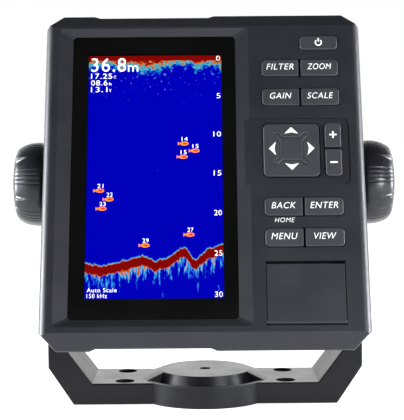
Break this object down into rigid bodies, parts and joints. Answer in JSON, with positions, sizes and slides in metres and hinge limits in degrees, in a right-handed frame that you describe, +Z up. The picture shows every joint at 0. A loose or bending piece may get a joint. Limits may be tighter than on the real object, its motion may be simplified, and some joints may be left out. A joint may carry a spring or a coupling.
{
  "type": "fish finder",
  "caption": "Fish finder: a slim display head with a key column, clamped by side knobs in a U-shaped bail bracket so that it can tilt.",
  "frame": {"origin": "centre of the bracket's centre hole, on its flat underside", "axes": "+Z up, +X to the right of the person who reads the display, -Y towards that person; the head leans back 21.6 degrees at rest"},
  "size_m": [0.1836, 0.1046, 0.1847],
  "materials": {
    "bracket_plastic": "fine grained matt moulding",
    "housing_plastic": "satin moulding with a fine grain",
    "key_plastic": "soft satin",
    "window_glass": "polished, bonded",
    "display": "lit display",
    "rubber": "matt",
    "sheet_steel": "stamped",
    "screw_steel": "machined",
    "board": "solder mask",
    "backlight_white": "diffuser",
    "component_black": "moulded",
    "socket_plastic": "glass filled moulding",
    "plate_grey": "satin, blank",
    "brass": "machined",
    "knob_plastic": "grippy satin"
  },
  "bodies": {
    "bail": {"bail_bracket": "bracket_plastic"},
    "head": {"backlight": "backlight_white", "beeper": "component_black", "board_screws": "screw_steel", "capacitors": "component_black", "card_socket": "sheet_steel", "display_carrier": "sheet_steel", "display_window": "window_glass", "door_hinge_pin": "screw_steel", "friction_pad_left": "rubber", "friction_pad_right": "rubber", "front_housing": "housing_plastic", "housing_screws": "screw_steel", "housing_seal": "rubber", "key_switches": "sheet_steel", "keypad_board": "board", "keypad_mat": "rubber", "lcd_panel": "display", "main_board": "board", "pivot_insert_left": "brass", "pivot_insert_right": "brass", "power_socket": "socket_plastic", "power_socket_core": "component_black", "rear_housing": "housing_plastic", "rear_plate": "plate_grey", "shield_can": "sheet_steel", "socket_contacts": "brass", "socket_nuts": "socket_plastic", "socket_seals": "rubber", "transducer_socket": "socket_plastic", "transducer_socket_core": "component_black", "transformer": "component_black", "vent_plug": "component_black", "window_gasket": "rubber"},
    "card_door": {"card_door": "housing_plastic", "door_seal": "rubber"},
    "direction_pivot": {"direction_pivot": "sheet_steel"},
    "direction_pad": {"direction_pad": "key_plastic"},
    "washer_left": {"washer_left": "screw_steel"},
    "knob_left": {"knob_left": "knob_plastic", "stud_left": "screw_steel"},
    "washer_right": {"washer_right": "screw_steel"},
    "knob_right": {"knob_right": "knob_plastic", "stud_right": "screw_steel"},
    "key_power": {"key_power": "key_plastic"},
    "key_filter": {"key_filter": "key_plastic"},
    "key_zoom": {"key_zoom": "key_plastic"},
    "key_gain": {"key_gain": "key_plastic"},
    "key_scale": {"key_scale": "key_plastic"},
    "key_back": {"key_back": "key_plastic"},
    "key_enter": {"key_enter": "key_plastic"},
    "key_menu": {"key_menu": "key_plastic"},
    "key_view": {"key_view": "key_plastic"},
    "key_plus": {"key_plus": "key_plastic"},
    "key_minus": {"key_minus": "key_plastic"}
  },
  "joints": [
    {"name": "tilt", "type": "hinge", "parent": "bail", "child": "head", "pos_m": [0, 0, 0.1041], "axis": [-1, 0, 0], "range_deg": [-16, 50]},
    {"name": "door_swing", "type": "hinge", "parent": "head", "child": "card_door", "pos_m": [0.0458, -0.05221, 0.04421], "axis": [1, 0, 0], "range_deg": [0, 95]},
    {"name": "pad_rock_up_down", "type": "hinge", "parent": "head", "child": "direction_pivot", "pos_m": [0.04095, -0.01883, 0.1186], "axis": [1, 0, 0], "range_deg": [-2.2, 2.2], "stiffness_Nm_per_rad": 0.6},
    {"name": "pad_rock_left_right", "type": "hinge", "parent": "direction_pivot", "child": "direction_pad", "pos_m": [0.04095, -0.01883, 0.1186], "axis": [0, 0.3681, 0.9298], "range_deg": [-2.2, 2.2], "stiffness_Nm_per_rad": 0.6},
    {"name": "power_press", "type": "slide", "parent": "head", "child": "key_power", "axis": [0, 0.9298, -0.3681], "range_m": [0, 0.0008], "stiffness_N_per_m": 500, "springref_m": -0.0004},
    {"name": "filter_press", "type": "slide", "parent": "head", "child": "key_filter", "axis": [0, 0.9298, -0.3681], "range_m": [0, 0.0008], "stiffness_N_per_m": 500, "springref_m": -0.0004},
    {"name": "zoom_press", "type": "slide", "parent": "head", "child": "key_zoom", "axis": [0, 0.9298, -0.3681], "range_m": [0, 0.0008], "stiffness_N_per_m": 500, "springref_m": -0.0004},
    {"name": "gain_press", "type": "slide", "parent": "head", "child": "key_gain", "axis": [0, 0.9298, -0.3681], "range_m": [0, 0.0008], "stiffness_N_per_m": 500, "springref_m": -0.0004},
    {"name": "scale_press", "type": "slide", "parent": "head", "child": "key_scale", "axis": [0, 0.9298, -0.3681], "range_m": [0, 0.0008], "stiffness_N_per_m": 500, "springref_m": -0.0004},
    {"name": "back_press", "type": "slide", "parent": "head", "child": "key_back", "axis": [0, 0.9298, -0.3681], "range_m": [0, 0.0008], "stiffness_N_per_m": 500, "springref_m": -0.0004},
    {"name": "enter_press", "type": "slide", "parent": "head", "child": "key_enter", "axis": [0, 0.9298, -0.3681], "range_m": [0, 0.0008], "stiffness_N_per_m": 500, "springref_m": -0.0004},
    {"name": "menu_press", "type": "slide", "parent": "head", "child": "key_menu", "axis": [0, 0.9298, -0.3681], "range_m": [0, 0.0008], "stiffness_N_per_m": 500, "springref_m": -0.0004},
    {"name": "view_press", "type": "slide", "parent": "head", "child": "key_view", "axis": [0, 0.9298, -0.3681], "range_m": [0, 0.0008], "stiffness_N_per_m": 500, "springref_m": -0.0004},
    {"name": "plus_press", "type": "slide", "parent": "head", "child": "key_plus", "axis": [0, 0.9298, -0.3681], "range_m": [0, 0.0008], "stiffness_N_per_m": 500, "springref_m": -0.0004},
    {"name": "minus_press", "type": "slide", "parent": "head", "child": "key_minus", "axis": [0, 0.9298, -0.3681], "range_m": [0, 0.0008], "stiffness_N_per_m": 500, "springref_m": -0.0004},
    {"name": "right_washer_travel", "type": "slide", "parent": "head", "child": "washer_right", "axis": [1, 0, 0], "range_m": [0, 0.0046]},
    {"name": "right_knob_turn", "type": "hinge", "parent": "washer_right", "child": "knob_right", "pos_m": [0.08, 0, 0.1041], "axis": [1, 0, 0], "range_deg": [0, 1080]},
    {"name": "left_washer_travel", "type": "slide", "parent": "head", "child": "washer_left", "axis": [-1, 0, 0], "range_m": [0, 0.0046]},
    {"name": "left_knob_turn", "type": "hinge", "parent": "washer_left", "child": "knob_left", "pos_m": [-0.08, 0, 0.1041], "axis": [-1, 0, 0], "range_deg": [0, 1080]}
  ],
  "couplings": [
    {"joint": "right_washer_travel", "follows": "right_knob_turn", "m_per_rad": 0.00023873},
    {"joint": "left_washer_travel", "follows": "left_knob_turn", "m_per_rad": 0.00023873}
  ]
}
